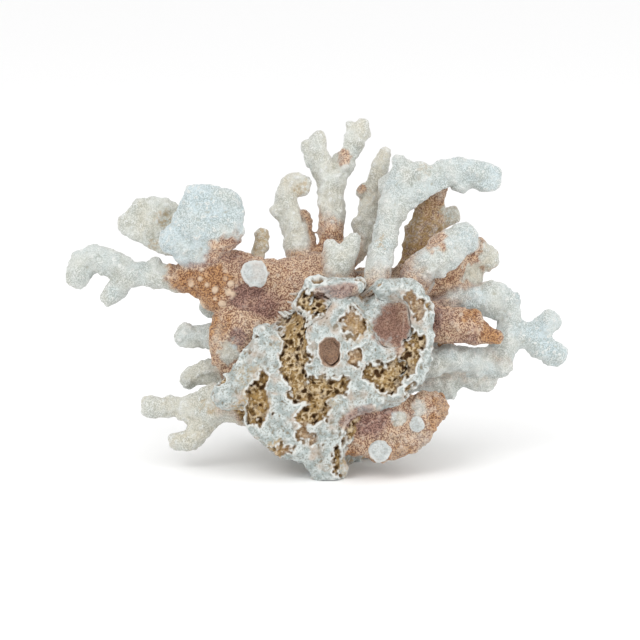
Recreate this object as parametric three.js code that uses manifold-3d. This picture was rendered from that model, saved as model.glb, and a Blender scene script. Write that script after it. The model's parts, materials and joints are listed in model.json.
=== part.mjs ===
// A bleached branching coral, about 250 mm across, standing on the flat cut of its holdfast.
// The colony is one growth, split at its main forks. Units are millimetres and +Z is up.
import * as THREE from "three";
import { mergeVertices } from "three/addons/utils/BufferGeometryUtils.js";
import { ImprovedNoise } from "three/addons/math/ImprovedNoise.js";
import Module from "manifold-3d";

const wasm = await Module();
wasm.setup();

// Places are given as an eye in front of the coral sees them: [across, up, deep].
// Across and up are measured on a picture plane through the middle of the coral, and
// deep is how far behind that plane the place lies. The eye looks down by LOOK_DOWN.
const EYE_DISTANCE = 1200;
const LOOK_DOWN = THREE.MathUtils.degToRad(10);
const PICTURE_MIDDLE_UP = 77;
const FLOOR = 5; // height of the cut above the frame's own level, before the part is set on Z = 0

const FINGER = 3; // half width of a thin finger, which has LEAST_SIDES sides
const LEAST_SIDES = 5;
const MOST_SIDES = 9;
const SIDE_EVERY = 3.2; // a side is added for each such step in half width
const FORK_GAP = 0.3; // between two pieces that meet at a fork
const LUMP_LENGTH = 11; // size of the swellings along a branch
const LUMP_SHARE = 0.12; // how far they change its thickness

const { lerp, clamp } = THREE.MathUtils;
const noise = new ImprovedNoise();

// The point of the part's frame that the eye sees at (across, up), and the scale of sizes there.
function seen(across, up, deep) {
  const scale = (EYE_DISTANCE + deep) / EYE_DISTANCE;
  const x = across * scale;
  const v = (up - PICTURE_MIDDLE_UP) * scale;
  const y = v * Math.sin(LOOK_DOWN) + deep * Math.cos(LOOK_DOWN);
  const z = PICTURE_MIDDLE_UP + v * Math.cos(LOOK_DOWN) - deep * Math.sin(LOOK_DOWN);
  return { point: new THREE.Vector3(x, y, z), scale };
}
const LOOK = new THREE.Vector3(0, Math.cos(LOOK_DOWN), -Math.sin(LOOK_DOWN));

// A closed geometry as a solid that can be joined and cut.
function solidOf(geometry) {
  const bare = geometry.clone();
  bare.deleteAttribute("normal");
  bare.deleteAttribute("uv");
  const merged = mergeVertices(bare, 1e-4);
  return new wasm.Manifold(
    new wasm.Mesh({
      numProp: 3,
      vertProperties: merged.attributes.position.array,
      triVerts: new Uint32Array(merged.index.array),
    }),
  );
}

function geometryOf(solid) {
  const mesh = solid.getMesh();
  return new THREE.BufferGeometry()
    .setAttribute("position", new THREE.BufferAttribute(mesh.vertProperties, 3))
    .setIndex(new THREE.BufferAttribute(mesh.triVerts, 1));
}

// A straight rod of radius 1 from y = 0 to y = 1, with a blunt point at its foot and a round
// tip. Both caps reach one unit further: ROUND_TIP holds the tip's [radius, height] steps.
const ROUND_TIP = [[0.74, 0.7], [0, 1]];
function rod(sides, rings) {
  const wall = Array.from({ length: rings + 1 }, (_, ring) => new THREE.Vector2(1, ring / rings));
  const foot = new THREE.Vector2(0, -1);
  const tip = ROUND_TIP.map(([radius, height]) => new THREE.Vector2(radius, 1 + height));
  return new THREE.LatheGeometry([foot, ...wall, ...tip], sides);
}

// One arm of coral: a rod bent along a smooth line, flattened and swollen on the way. Each of
// its stations is [across, up, deep, half width, half thickness]. The thickness lies along
// `flat`, which is the line of sight unless the arm itself runs that way. Its few sides are
// drawn a little outside its oval section, so that they enclose as much.
function arm(stations, { tip, flat = LOOK, step = 14 } = {}) {
  const widest = Math.max(...stations.map((station) => station[3]));
  const enough = Math.round(LEAST_SIDES + (widest - FINGER) / SIDE_EVERY);
  const sides = clamp(enough, LEAST_SIDES, MOST_SIDES);
  return (grow) => {
    const places = stations.map(([a, u, d]) => seen(a, u, d));
    const curve = new THREE.CatmullRomCurve3(places.map((p) => p.point), false, "centripetal");
    const rings = Math.max(1, Math.round(curve.getLength() / step));
    const last = stations.at(-1);
    const reach = (tip ?? Math.min(last[3], last[4]) * 0.9) + grow;
    const bent = rod(sides, rings);
    const fuller = Math.sqrt((2 * Math.PI) / (sides * Math.sin((2 * Math.PI) / sides)));
    const position = bent.attributes.position;
    const spot = new THREE.Vector3();
    for (let i = 0; i < position.count; i += 1) {
      const [x, y, z] = [position.getX(i), position.getY(i), position.getZ(i)];
      const along = clamp(y, 0, 1);
      const beyond = y - along;
      const slot = along * (stations.length - 1);
      const k = Math.min(Math.floor(slot), stations.length - 2);
      const size = [3, 4].map((n) => {
        const mixed = lerp(stations[k][n], stations[k + 1][n], slot - k);
        return fuller * mixed * lerp(places[k].scale, places[k + 1].scale, slot - k);
      });
      const centre = curve.getPoint(along);
      const ahead = curve.getTangent(along);
      const side = new THREE.Vector3().crossVectors(ahead, flat).normalize();
      const thick = new THREE.Vector3().crossVectors(side, ahead).normalize();
      spot.copy(centre).addScaledVector(side, x * size[0]).addScaledVector(thick, z * size[1]);
      const lump = noise.noise(spot.x / LUMP_LENGTH, spot.y / LUMP_LENGTH, spot.z / LUMP_LENGTH);
      const swell = 1 + LUMP_SHARE * 2 * lump;
      spot.copy(centre)
        .addScaledVector(side, x * (size[0] * swell + grow))
        .addScaledVector(thick, z * (size[1] * swell + grow))
        .addScaledVector(ahead, beyond * reach);
      position.setXYZ(i, spot.x, spot.y, spot.z);
    }
    return solidOf(bent);
  };
}

// The eroded face of the holdfast: a pillow of porous ground whose rim follows its outline as
// seen, and the runs of white crust that are left standing on it. Each point of the outline is
// the end of a spoke from its middle.
const GROUND_DEEP = -24.5;
const GROUND_BULGE = 9;
const GROUND_ROUGH = 2.5; // how far its lumps reach
const GROUND_LUMP = 8; // and how long they are
const RIM_DEEP = -15;
const BACK_DEEP = -2;
const FACE_MIDDLE = [6, 47];
const FACE_REACH = [60, 52];
const FACE_OUTLINE = [
  [-57, 36], [-51, 44], [-42, 50], [-33, 60], [-29, 74], [-24, 77], [-14, 83], [-13, 92],
  [-7, 96], [8, 97], [20, 96.5], [25, 90], [31, 95], [42, 96], [50, 93], [54, 87], [56, 73],
  [54, 62], [50, 50], [45, 44], [38, 36], [24, 31], [15, 27], [11.5, 17], [11.5, 6], [10, -5],
  [0, -6], [-4, 3], [-10, 6.5], [-25, 12], [-33, 20], [-40, 25], [-51, 29],
];
const FRONT_RINGS = 3;
const FRONT_SQUARE = 6; // the higher, the flatter the face and the sharper its turn at the rim
const BACK_SQUARE = 3;
const BACK_RINGS = 2;

// Each run of crust is a list of [across, up, half width].
const CRUST_RISE = 4.5; // how far it stands proud of the ground
const CRUST_RUNS = {
  left: [[-27, 72, 4.5], [-26, 64, 7.5], [-29, 54, 10.5], [-37, 45, 9.5], [-50, 37, 6]],
  around_bore: [
    [8, 75, 6], [-1, 71, 5], [-6, 63, 4.5], [-5, 53, 5], [3, 48, 5.5], [13, 50, 5.5], [19, 58, 6],
    [18, 68, 6], [8, 75, 6],
  ],
  across_middle: [[8, 84, 6], [17, 76, 6], [24, 66, 5.5], [27, 59, 5], [36, 60, 4.5], [48, 64, 5]],
  lower: [
    [17, 45, 5], [12, 36, 8], [6, 24, 10.5], [-4, 16, 11], [-18, 20, 11], [-28, 28, 9.5],
    [-28, 40, 8],
  ],
  foot: [[2, 12, 9], [5, -6, 7]],
  right_rim: [
    [30, 92, 4.5], [47, 91, 5.5], [51, 80, 5.5], [50, 64, 5], [48, 52, 4.5], [40, 42, 4.5],
    [22, 38, 6],
  ],
  upper_rim: [[-9, 84, 4], [-8, 92.5, 4], [4, 93, 4.5], [14, 92, 4.5], [19, 94.5, 3]],
};

function groundDeep(across, up) {
  const offAcross = (across - FACE_MIDDLE[0]) / FACE_REACH[0];
  const offUp = (up - FACE_MIDDLE[1]) / FACE_REACH[1];
  const bulge = GROUND_BULGE * Math.max(0, 1 - offAcross ** 2 - offUp ** 2);
  return GROUND_DEEP - bulge + GROUND_ROUGH * noise.noise(across / GROUND_LUMP, up / GROUND_LUMP, 0);
}

function faceGround(grow) {
  const rim = FACE_OUTLINE.map(([across, up]) => new THREE.Vector3(across, up, 0)).reverse();
  const middle = new THREE.Vector3(...FACE_MIDDLE, 0);
  const sphere = new THREE.SphereGeometry(1, rim.length, FRONT_RINGS + BACK_RINGS);
  const position = sphere.attributes.position;
  for (let i = 0; i < position.count; i += 1) {
    const ring = Math.floor(i / (rim.length + 1));
    const spoke = (i % (rim.length + 1)) % rim.length;
    const front = ring <= FRONT_RINGS;
    const share = front ? ring / FRONT_RINGS : (FRONT_RINGS + BACK_RINGS - ring) / BACK_RINGS;
    const spot = middle.clone().lerp(rim[spoke], share);
    spot.add(rim[spoke].clone().sub(middle).setLength(grow * share));
    const deep = front
      ? lerp(RIM_DEEP, groundDeep(spot.x, spot.y) - grow, Math.sqrt(1 - share ** FRONT_SQUARE))
      : lerp(RIM_DEEP, BACK_DEEP + grow, Math.sqrt(1 - share ** BACK_SQUARE));
    const { point } = seen(spot.x, spot.y, deep);
    position.setXYZ(i, point.x, point.y, point.z);
  }
  return solidOf(sphere);
}

function crustRun(run) {
  const stations = run.map(([across, up, half]) => {
    return [across, up, groundDeep(across, up), half, CRUST_RISE];
  });
  return arm(stations, { tip: 3, step: 12 });
}

const coral = new THREE.Group();
const BLEACHED = new THREE.MeshStandardMaterial({ color: 0xd8dbd6, roughness: 0.85, metalness: 0 });
const BLUSHED = new THREE.MeshStandardMaterial({ color: 0xb28d78, roughness: 0.85, metalness: 0 });
const CRUST = new THREE.MeshStandardMaterial({ color: 0xc9cbc4, roughness: 0.9, metalness: 0 });

const FLOOR_SIZE = 600;
const floorBlock = solidOf(
  new THREE.BoxGeometry(FLOOR_SIZE, FLOOR_SIZE, FLOOR_SIZE).translate(0, 0, FLOOR - FLOOR_SIZE / 2),
);
let standing = null; // everything made so far, grown by the gap that a later piece keeps to it

// The arms of one piece, made thicker by `grow` and joined, less its hollows. A cut can leave
// slivers behind, so only the largest body counts.
function joined(arms, hollows, grow, cutAway = []) {
  let solid = arms.map((make) => make(grow)).reduce((all, one) => all.add(one));
  for (const hollow of hollows) solid = solid.subtract(hollow(-grow));
  for (const other of cutAway) solid = solid.subtract(other);
  return solid.decompose().sort((a, b) => b.volume() - a.volume())[0];
}

// Adds one piece to the coral, cut by the floor and by the pieces that it grows from.
function piece(name, material, arms, hollows = []) {
  const solid = joined(arms, hollows, 0, standing ? [floorBlock, standing] : [floorBlock]);
  const grown = joined(arms, hollows, FORK_GAP);
  standing = standing ? standing.add(grown) : grown;
  const mesh = new THREE.Mesh(geometryOf(solid), material);
  mesh.name = name;
  coral.add(mesh);
}

const ALONG_UP = new THREE.Vector3(0, 0, 1); // the flat side of an arm that runs away from the eye

// The hollows of the face: the bore hole, the scoop to the right above it and a pit below that.
const BORE = arm([[5, 61, -52, 5.2, 7], [5.5, 60, -24, 4.6, 6.2]], { flat: ALONG_UP, step: 30 });
const SCOOP = arm([[36, 84, -40, 8, 9], [36, 74, -37, 9, 12], [36, 68, -36, 8, 11]]);
const PIT = arm([[30, 45, -42, 4, 8], [37, 47, -42, 5, 8], [43, 56, -40, 3.5, 6]]);

// The holdfast: the eroded face with its bore hole and scooped hollow, the dense middle that
// every branch grows from, and the heel that was broken off the reef.
piece(
  "holdfast",
  CRUST,
  [
    faceGround,
    ...Object.values(CRUST_RUNS).map(crustRun),
    arm([
      [-34, 70, 0, 20, 14], [-10, 70, 2, 26, 19], [20, 66, 2, 27, 19], [46, 72, 0, 18, 13],
    ], { step: 16 }),
    arm([
      [8, 52, 4, 31, 20], [7, 34, 12, 27, 20], [8, 16, 26, 22, 17], [8, -6, 34, 21, 16],
    ], { step: 16 }),
    arm([
      [4, 10, -16, 6, 14], [5, 12, 4, 8, 14], [7, 14, 26, 17, 17],
    ], { flat: ALONG_UP, step: 16 }),
  ],
  [BORE, SCOOP, PIT],
);

// The lower flap: a thick plate that droops below the right of the holdfast, with the round
// scars of two stems broken off it.
piece("lower_flap", BLUSHED, [
  arm([
    [8, 20, -22, 11, 6], [22, 21, -25, 12, 6], [31, 20, -26, 14, 5.5], [40, 22.5, -25, 13.3, 5.5],
    [48, 28.5, -23, 13, 5], [55, 32.5, -20, 10.5, 4.5], [60, 33.5, -18, 7.5, 4],
  ], { tip: 4.5, step: 9 }),
  arm([[30, 11.5, -27, 5, 5], [30, 11, -34, 4.6, 4.6]], { flat: ALONG_UP, tip: 1.5 }),
  arm([[48, 25, -24, 3.6, 3.6], [48.3, 25, -30, 3.2, 3.2]], { flat: ALONG_UP, tip: 1.2 }),
]);

// The left trunk: a blushed plate that leaves the holdfast to the left, with one broken stem.
piece("left_trunk", BLUSHED, [
  arm([
    [-12, 80, -10, 20, 8], [-35, 91, -10, 20, 8], [-54, 97, -7, 12.5, 7], [-69, 98.5, -2, 7.8, 6],
  ], { tip: 3 }),
  arm([[-32.5, 100, -8, 6, 6], [-32.5, 100, -20.5, 5.8, 5.8]], { flat: ALONG_UP, tip: 2 }),
]);
piece("left_lower_plate", BLUSHED, [
  arm([
    [-16, 70, -10, 22, 8], [-36, 68, -11, 24, 7.5], [-47, 68, -10, 20, 6.5], [-51, 68, -9, 15, 5],
  ], { tip: 4, step: 9 }),
]);
piece("upper_plate", BLUSHED, [
  arm([[-4, 82, -10, 22, 9], [-6, 96, -8, 20.5, 8], [-7, 105, -5, 18, 7]], { tip: 4 }),
  arm([[8, 92, -6, 9, 8], [22, 97, -2, 6, 7], [32, 98, 0, 6, 7]]),
]);
piece("right_trunk", BLUSHED, [
  arm([[34, 84, -6, 12, 10], [44, 95, -4, 11, 9], [50, 99, -3, 9, 8]], { tip: 4 }),
]);

// The left side, from the top down.
piece("rear_left_blade", BLEACHED, [
  arm([
    [-58, 102, -4, 7, 5], [-63, 112, -2, 9, 5], [-70, 120, 0, 12, 5], [-77.5, 124, 1, 12.8, 4.6],
    [-85, 126, 1, 12.7, 4.5], [-92.5, 126, 2, 10, 4.2], [-97.5, 123.8, 2, 5.5, 4],
  ], { tip: 3.5, step: 9 }),
]);
piece("front_left_blade", BLEACHED, [
  arm([
    [-56, 105, -6, 8, 6.5], [-58.5, 112.5, -11, 17, 5.6], [-58.5, 119, -14, 19.5, 5],
    [-56.5, 127, -15, 17.8, 4.8], [-54, 135, -15, 14.8, 4.5], [-52.6, 141, -15, 12.8, 4],
  ], { tip: 3.5, step: 7 }),
  arm([[-62, 118, -13, 10, 5], [-71.5, 117.5, -13, 8, 4.6], [-76.5, 117, -12, 6.4, 4.2]]),
]);
piece("left_antler", BLEACHED, [
  arm([
    [-62, 97.5, 0, 7, 6], [-75, 98, 1, 6.2, 5.6], [-87, 99, 2, 5.8, 5.5], [-98, 102, 4, 7, 5.5],
    [-110, 107.5, 6, 6.8, 6], [-117, 107, 7, 7.5, 6], [-121, 100, 7, 6.6, 5.5],
    [-122.3, 96, 7, 5.2, 4.6],
  ], { tip: 3, step: 9 }),
  arm([[-96, 101, 4, 5, 5], [-101.5, 94, 5, 4.8, 4.6], [-105.5, 87.5, 6, 4.2, 4.2]], { tip: 4 }),
  arm([[-82, 99, 1, 3.8, 3.5], [-82, 105, 1, 3.3, 3.2]], { tip: 2.4 }),
]);
piece("left_under_lobe", BLEACHED, [
  arm([[-36, 84, -4, 8, 7], [-50, 83.5, 9, 5.5, 5], [-57, 84, 11, 4.6, 4]], { tip: 3.6 }),
]);
piece("left_stub", BLEACHED, [
  arm([
    [-44, 68, -1, 7, 6], [-56, 68.5, 2, 5.4, 5.2], [-62, 68.7, 4, 5.6, 5.4], [-67.5, 69, 5, 6.8, 6],
  ], { tip: 4.6 }),
]);
piece("left_hook", BLEACHED, [
  arm([
    [-36, 46, -4, 7, 6], [-49, 50.5, 1, 6.2, 6], [-57.5, 51, 4, 6, 6], [-64, 48.5, 6, 5.4, 5],
    [-66, 45.5, 6, 4.6, 4.4],
  ], { tip: 2.6, step: 8 }),
  arm([[-46, 42, 0, 3.5, 3.5], [-56, 40.6, -1, 2.8, 2.8]], { tip: 2 }),
]);
piece("lower_left_branch", BLEACHED, [
  arm([
    [-40, 36, -16, 10, 8], [-50, 35, -13, 9.5, 7], [-60, 33.4, -10, 7, 6], [-70, 33.8, -8, 4.8, 5],
    [-79, 34, -6, 4.7, 4.8], [-85.5, 34.2, -5, 5, 4.8],
  ], { tip: 4.4, step: 10 }),
  arm([
    [-54, 30, -11, 7, 6], [-59.5, 24, -9, 6, 5.5], [-62, 18.5, -8, 5.4, 5],
    [-67.5, 15.4, -7, 4.9, 4.8], [-72.5, 16.4, -6, 3.6, 4],
  ], { tip: 3, step: 9 }),
  arm([[-66, 32, -9, 4, 4], [-68.5, 29.5, -9, 3.6, 3.6]], { tip: 2.6 }),
]);

// The top, from left to right.
piece("small_finger", BLEACHED, [
  arm([
    [-31, 97, -7, 3.6, 3.6], [-31.5, 105, 0, 3.2, 3.2], [-30.5, 112, 4, 3, 3],
    [-29, 119.5, 5, 3, 3],
  ], { tip: 2.8 }),
  arm([[-29.5, 113, 4, 2, 2], [-27.6, 114.5, 4, 1.8, 1.8]], { tip: 1.2 }),
]);
piece("upper_left_hook", BLEACHED, [
  arm([
    [-10, 104, 2, 6, 6], [-12, 118, 6, 5.8, 5.2], [-15.5, 130, 8, 5.6, 5], [-17, 140, 9, 5.4, 4.8],
    [-14, 146, 9, 5, 4.8], [-9, 146, 9, 4.7, 4.6], [-8.6, 142, 9, 3.8, 4],
  ], { tip: 2.6, step: 7 }),
  arm([[-17, 132, 8, 4.6, 4.4], [-21.8, 131.3, 7, 3.8, 3.8]], { tip: 2.6 }),
]);
piece("upper_rear_finger", BLUSHED, [
  arm([
    [-3, 100, -1, 6, 6], [-5, 113, 7, 3.8, 3.8], [-8, 121, 11, 3, 3], [-8.2, 130, 12, 3, 3],
  ], { tip: 2.4 }),
]);
piece("tall_fork", BLEACHED, [
  arm([
    [7.5, 98, 2, 7, 6.4], [6, 117, 7, 6.3, 6], [5, 130, 9, 6.2, 6], [5.5, 142, 10, 6.6, 6],
    [3, 149.5, 11, 5.6, 5.4], [-1, 156, 12, 5.6, 5.4], [-3.6, 162, 13, 5.6, 5],
  ], { tip: 3, step: 10 }),
  arm([[-4.5, 160, 13, 3.6, 3.6], [-7.4, 164.4, 13, 2.7, 3]], { tip: 2.4 }),
  arm([[-2.5, 160, 13, 4, 4], [0, 168, 13, 3.4, 3.4]], { tip: 3.2 }),
  arm([
    [6.5, 142, 10, 5.6, 5.4], [10.5, 150, 11, 4.7, 4.6], [14, 158, 12, 4.1, 4.2],
    [17, 166, 13, 4.7, 4.4], [19.5, 171.5, 14, 5.2, 4.6],
  ], { tip: 2.6, step: 10 }),
  arm([[18, 170, 14, 3, 3], [15.8, 174.5, 14, 2.2, 2.4]], { tip: 1.8 }),
  arm([[20, 171, 14, 4, 4], [21.6, 175, 14, 3.5, 3.5]], { tip: 2.8 }),
  arm([[21, 170.5, 14, 3, 3], [24.2, 169.8, 14, 2.4, 2.6]], { tip: 1.8 }),
  arm([[12.6, 156.5, 13, 3.6, 3.6], [9.4, 158, 17, 3.4, 3.4]], { tip: 2.6 }),
]);
piece("front_fork", BLEACHED, [
  arm([
    [8, 90, -10, 10, 6], [8.6, 101, -13, 9.6, 5.6], [7, 109, -14, 6, 4.8],
    [5.3, 113.6, -14, 3.4, 3.6],
  ], { tip: 3, step: 9 }),
  arm([
    [11, 104, -13, 6.5, 5.4], [15.3, 112, -13, 4.2, 4.4], [17.4, 118, -13, 3, 3.4],
  ], { tip: 2.8 }),
]);
piece("slender_blade", BLEACHED, [
  arm([
    [12, 102, 4, 5, 5], [18, 111.5, 10, 3.8, 4], [22.5, 118, 13, 5.6, 4],
    [24.6, 129.5, 15, 5.6, 4.4], [26.2, 139.5, 16, 5.4, 4.4], [28.4, 148, 17, 5, 4.2],
    [31.4, 156.5, 18, 3.8, 3.6], [32.8, 160.5, 18, 2.8, 3],
  ], { tip: 2.4 }),
  arm([[23.5, 141, 15, 4, 3.8], [20.3, 142.3, 14, 3.6, 3.6]], { tip: 1.8 }),
  arm([[22.5, 125, 14, 4, 3.8], [18.4, 124.8, 13, 3.6, 3.6]], { tip: 1.8 }),
]);
piece("right_column", BLEACHED, [
  arm([
    [26, 94.5, -20, 5.6, 5], [28.5, 101, -18, 6.6, 6.2], [30.4, 110, -14, 5.8, 6],
    [33.2, 122, -9, 6.3, 6], [35.8, 132, -5, 7.2, 6.4], [38.6, 140, -3, 8, 6.4],
    [40.4, 148, -1, 5.8, 5.4], [42, 154.5, 0, 4.6, 4.6],
  ], { tip: 4 }),
  arm([[40.5, 155, 0, 3.6, 3.6], [38, 156, -2, 3.3, 3.3]], { tip: 2 }),
  arm([[37, 140, 0, 6, 5], [34, 147, 5, 4.6, 4.4]], { tip: 2.6 }),
  arm([[28.5, 98, -18, 6, 6], [34, 92, -8, 7, 7]], { tip: 2 }),
]);
piece("reaching_arm", BLEACHED, [
  arm([
    [38.5, 136, -2, 7, 6], [48, 140.5, -1, 6.2, 5.8], [55, 147, 0, 7.2, 6],
    [62.5, 151, 0, 6.4, 5.8], [71, 152, 1, 6, 5.6], [78, 150.5, 2, 6.4, 5.6],
    [85, 148, 3, 6.9, 5.8],
  ], { tip: 5.6, step: 9 }),
  arm([[52, 147, -2, 5, 4.6], [50.2, 153.5, -4, 4.1, 4]], { tip: 3 }),
  arm([[70, 149, 1, 4, 4], [70.3, 144, 2, 3.8, 3.8]], { tip: 3 }),
]);
piece("tan_blade", BLUSHED, [
  arm([
    [45, 95, 6, 8, 6.5], [50.5, 106, 10, 10, 5.6], [52, 114, 12, 10.4, 5.4],
    [52, 122, 13, 9, 5], [54.2, 130, 13, 7.2, 4.6], [57, 137.5, 12, 4.8, 4.4], [60, 144, 9, 4, 4],
  ], { tip: 4 }),
  arm([[54, 122, 16, 5, 4], [61, 130, 20, 4.2, 4], [66.2, 130.5, 21, 4.2, 4]], { tip: 3.6 }),
]);

// The right side, from the top down.
piece("upper_right_limb", BLEACHED, [
  arm([
    [44, 97, -12, 6, 6], [52, 103, -12, 7.6, 6.6], [61, 110.5, -9, 8.6, 6.6], [70, 117, -6, 8.6, 6],
    [74.2, 119.8, -5, 8, 5.6],
  ], { tip: 3.4 }),
  arm([[62, 112, -8, 6, 6], [58.6, 117, -5, 5.4, 5.4]], { tip: 3 }),
]);
piece("second_right_limb", BLUSHED, [
  arm([
    [48, 91.5, -2, 5.6, 6], [57, 96.5, 0, 4.8, 5.4], [65, 102, 1, 6, 5.6], [74, 108.5, 2, 6, 5.4],
    [80.6, 114, 3, 4.6, 4.6],
  ], { tip: 3 }),
  arm([[74, 105, 5, 6, 5], [84.6, 108.5, 9, 6, 5.4]], { tip: 5 }),
  arm([[66, 97, 4, 6, 5], [76.6, 99.8, 8, 5.6, 5]], { tip: 5 }),
]);
piece("pink_tongue", BLUSHED, [
  arm([
    [44, 75, -10, 11, 7], [60, 76.3, -13, 9.8, 6], [70, 73.4, -14, 8.2, 5.4],
    [78, 71, -14, 6.4, 5], [85, 69.6, -14, 4.8, 4.6], [88.5, 68.8, -14, 3.8, 4],
  ], { tip: 3 }),
  arm([[66, 76, -13, 4.4, 4], [78, 80, -12, 2.4, 3]], { tip: 2.2 }),
]);
piece("right_fan", BLEACHED, [
  arm([
    [42, 81, 0, 8, 8], [58, 81.5, 0, 5.4, 6.2], [71, 87.5, 2, 7, 6], [84, 87.5, 4, 8.6, 5.6],
    [91, 86.5, 5, 8.8, 5.2],
  ], { tip: 5.6, step: 12 }),
  arm([
    [93, 88, 5, 7, 5.2], [95, 77, 5, 4.8, 5], [92.5, 66, 4, 6.8, 5.6], [89.5, 57, 3, 7.2, 6],
    [90, 54, 3, 7.2, 5.6],
  ], { tip: 4, step: 10 }),
]);
piece("far_right_antler", BLEACHED, [
  arm([
    [90, 67, 4, 6, 5.4], [99, 69, 5, 6.2, 5.6], [106, 70.5, 6, 6.2, 5.8], [111.4, 75, 7, 5.8, 5.4],
    [116, 77.4, 8, 5.6, 5.2],
  ], { tip: 4.4 }),
  arm([[104, 70, 6, 6, 5.6], [111.4, 65, 7, 6.8, 6], [118.2, 58.6, 8, 6.4, 5.6]], { tip: 4 }),
]);
piece("lower_right_limb", BLEACHED, [
  arm([
    [44, 54, -8, 8, 7], [54, 55.6, -7, 7, 6], [64, 57.4, -5, 6, 5.6], [74, 58.4, -3, 5.8, 5.4],
    [84, 56, 0, 7, 5.6], [92, 53.6, 0, 5.4, 5],
  ], { tip: 4.6 }),
]);
piece("inner_spur", BLUSHED, [
  arm([[44, 64, 6, 6, 6], [57, 64, 8, 3.4, 4], [66, 63.2, 9, 2.6, 3]], { tip: 2.6 }),
]);
piece("lowest_right_limb", BLEACHED, [
  arm([
    [37, 47, -1, 8, 8], [56, 47.5, 3, 5.6, 5.6], [66, 48.4, 3, 6, 5.4], [75, 48.4, 4, 5.2, 5],
    [83.5, 47, 5, 5.2, 5],
  ], { tip: 4.6 }),
  arm([[62, 46, 3, 5, 4.6], [65.6, 40.4, 5, 3.9, 3.8]], { tip: 2.8 }),
]);

// The crown: the branches that grew away from the reef, hidden from the front. The first run
// of each is its stem with the leading tip, and the others are tips that fork off the stem.
const CROWN = {
  crown_upper_left: {
    stem: [[-24, 84, 12, 8, 7], [-30, 92, 28, 7, 6], [-35, 97, 42, 6.6, 5.4], [-40, 97, 55, 5.2, 4.6]],
    tips: [[-31, 101, 58, 5, 4.6]],
  },
  crown_upper_middle: {
    stem: [[2, 86, 12, 9, 8], [2, 95, 30, 7.4, 6.4], [4, 100, 46, 6.6, 6], [-2, 104, 62, 5, 4.6]],
    tips: [[10, 102, 60, 5.2, 4.8], [4, 109, 52, 4.4, 4.2]],
  },
  crown_upper_right: {
    stem: [[26, 82, 14, 8, 8], [32, 88, 34, 7, 6], [35, 90, 50, 6.4, 5.6], [31, 92, 64, 4.8, 4.6]],
    tips: [[42, 89, 62, 5.2, 4.6]],
  },
  crown_right: {
    stem: [[46, 74, 10, 8, 7], [56, 78, 28, 6.6, 6], [62, 79, 42, 6, 5.6], [64, 84, 55, 4.8, 4.4]],
    tips: [[70, 76, 52, 5, 4.6]],
  },
  crown_left: {
    stem: [[-32, 62, 8, 8, 7], [-42, 61, 28, 6.8, 6], [-46, 62, 42, 6, 5.6], [-49, 68, 54, 4.8, 4.4]],
    tips: [[-46, 57, 56, 5, 4.4]],
  },
  crown_middle: {
    stem: [[-4, 66, 16, 9, 9], [-8, 66, 38, 7.6, 6.8], [-10, 67, 54, 6.8, 6], [-17, 72, 66, 5.2, 4.8]],
    tips: [[-7, 61, 72, 5.2, 4.8], [-4, 73, 64, 4.4, 4.2]],
  },
  crown_middle_right: {
    stem: [[22, 60, 16, 9, 8], [29, 58, 38, 7.2, 6.4], [33, 57, 52, 6.4, 5.8], [30, 62, 67, 5, 4.8]],
    tips: [[40, 54, 63, 5, 4.6]],
  },
  crown_lower_right: {
    stem: [[40, 52, 8, 8, 7], [50, 50, 26, 6.4, 6], [55, 50, 40, 5.8, 5.4], [61, 53, 50, 4.6, 4.4]],
    tips: [[54, 45, 53, 4.8, 4.4]],
  },
  crown_lower_left: {
    stem: [[-14, 44, 14, 8, 7], [-22, 40, 32, 6.6, 6], [-27, 38, 46, 6, 5.4], [-34, 41, 57, 4.8, 4.4]],
    tips: [[-25, 32, 58, 4.8, 4.4]],
  },
  crown_lower_middle: {
    stem: [[8, 40, 22, 8, 7], [8, 34, 38, 6.8, 6], [7, 31, 52, 6.2, 5.6], [1, 35, 66, 4.8, 4.6]],
    tips: [[13, 28, 64, 5, 4.6]],
  },
};
for (const [name, { stem, tips }] of Object.entries(CROWN)) {
  const [across, up, deep, width, thickness] = stem.at(-2);
  const fork = [across, up, deep - 5, width - 1.2, thickness - 0.8];
  const options = { flat: ALONG_UP, step: 15 };
  piece(name, BLUSHED, [arm(stem, options), ...tips.map((tip) => arm([fork, tip], options))]);
}

// The part stands on Z = 0, with its box centred over the origin.
const box = new THREE.Box3().setFromObject(coral);
const centre = box.getCenter(new THREE.Vector3());
coral.position.set(-centre.x, -centre.y, -box.min.z);

export default coral;
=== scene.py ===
# A bleached branching coral on a pale studio floor. It is one growth of limestone skeleton, and
# its pieces are parted at the main forks. Blender's unit is the metre; sizes here are in
# millimetres where a name says so, times MM.
import json
import math

import bmesh
import bpy
import numpy as np
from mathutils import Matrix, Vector, noise
from mathutils.bvhtree import BVHTree
from mathutils.kdtree import KDTree


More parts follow.
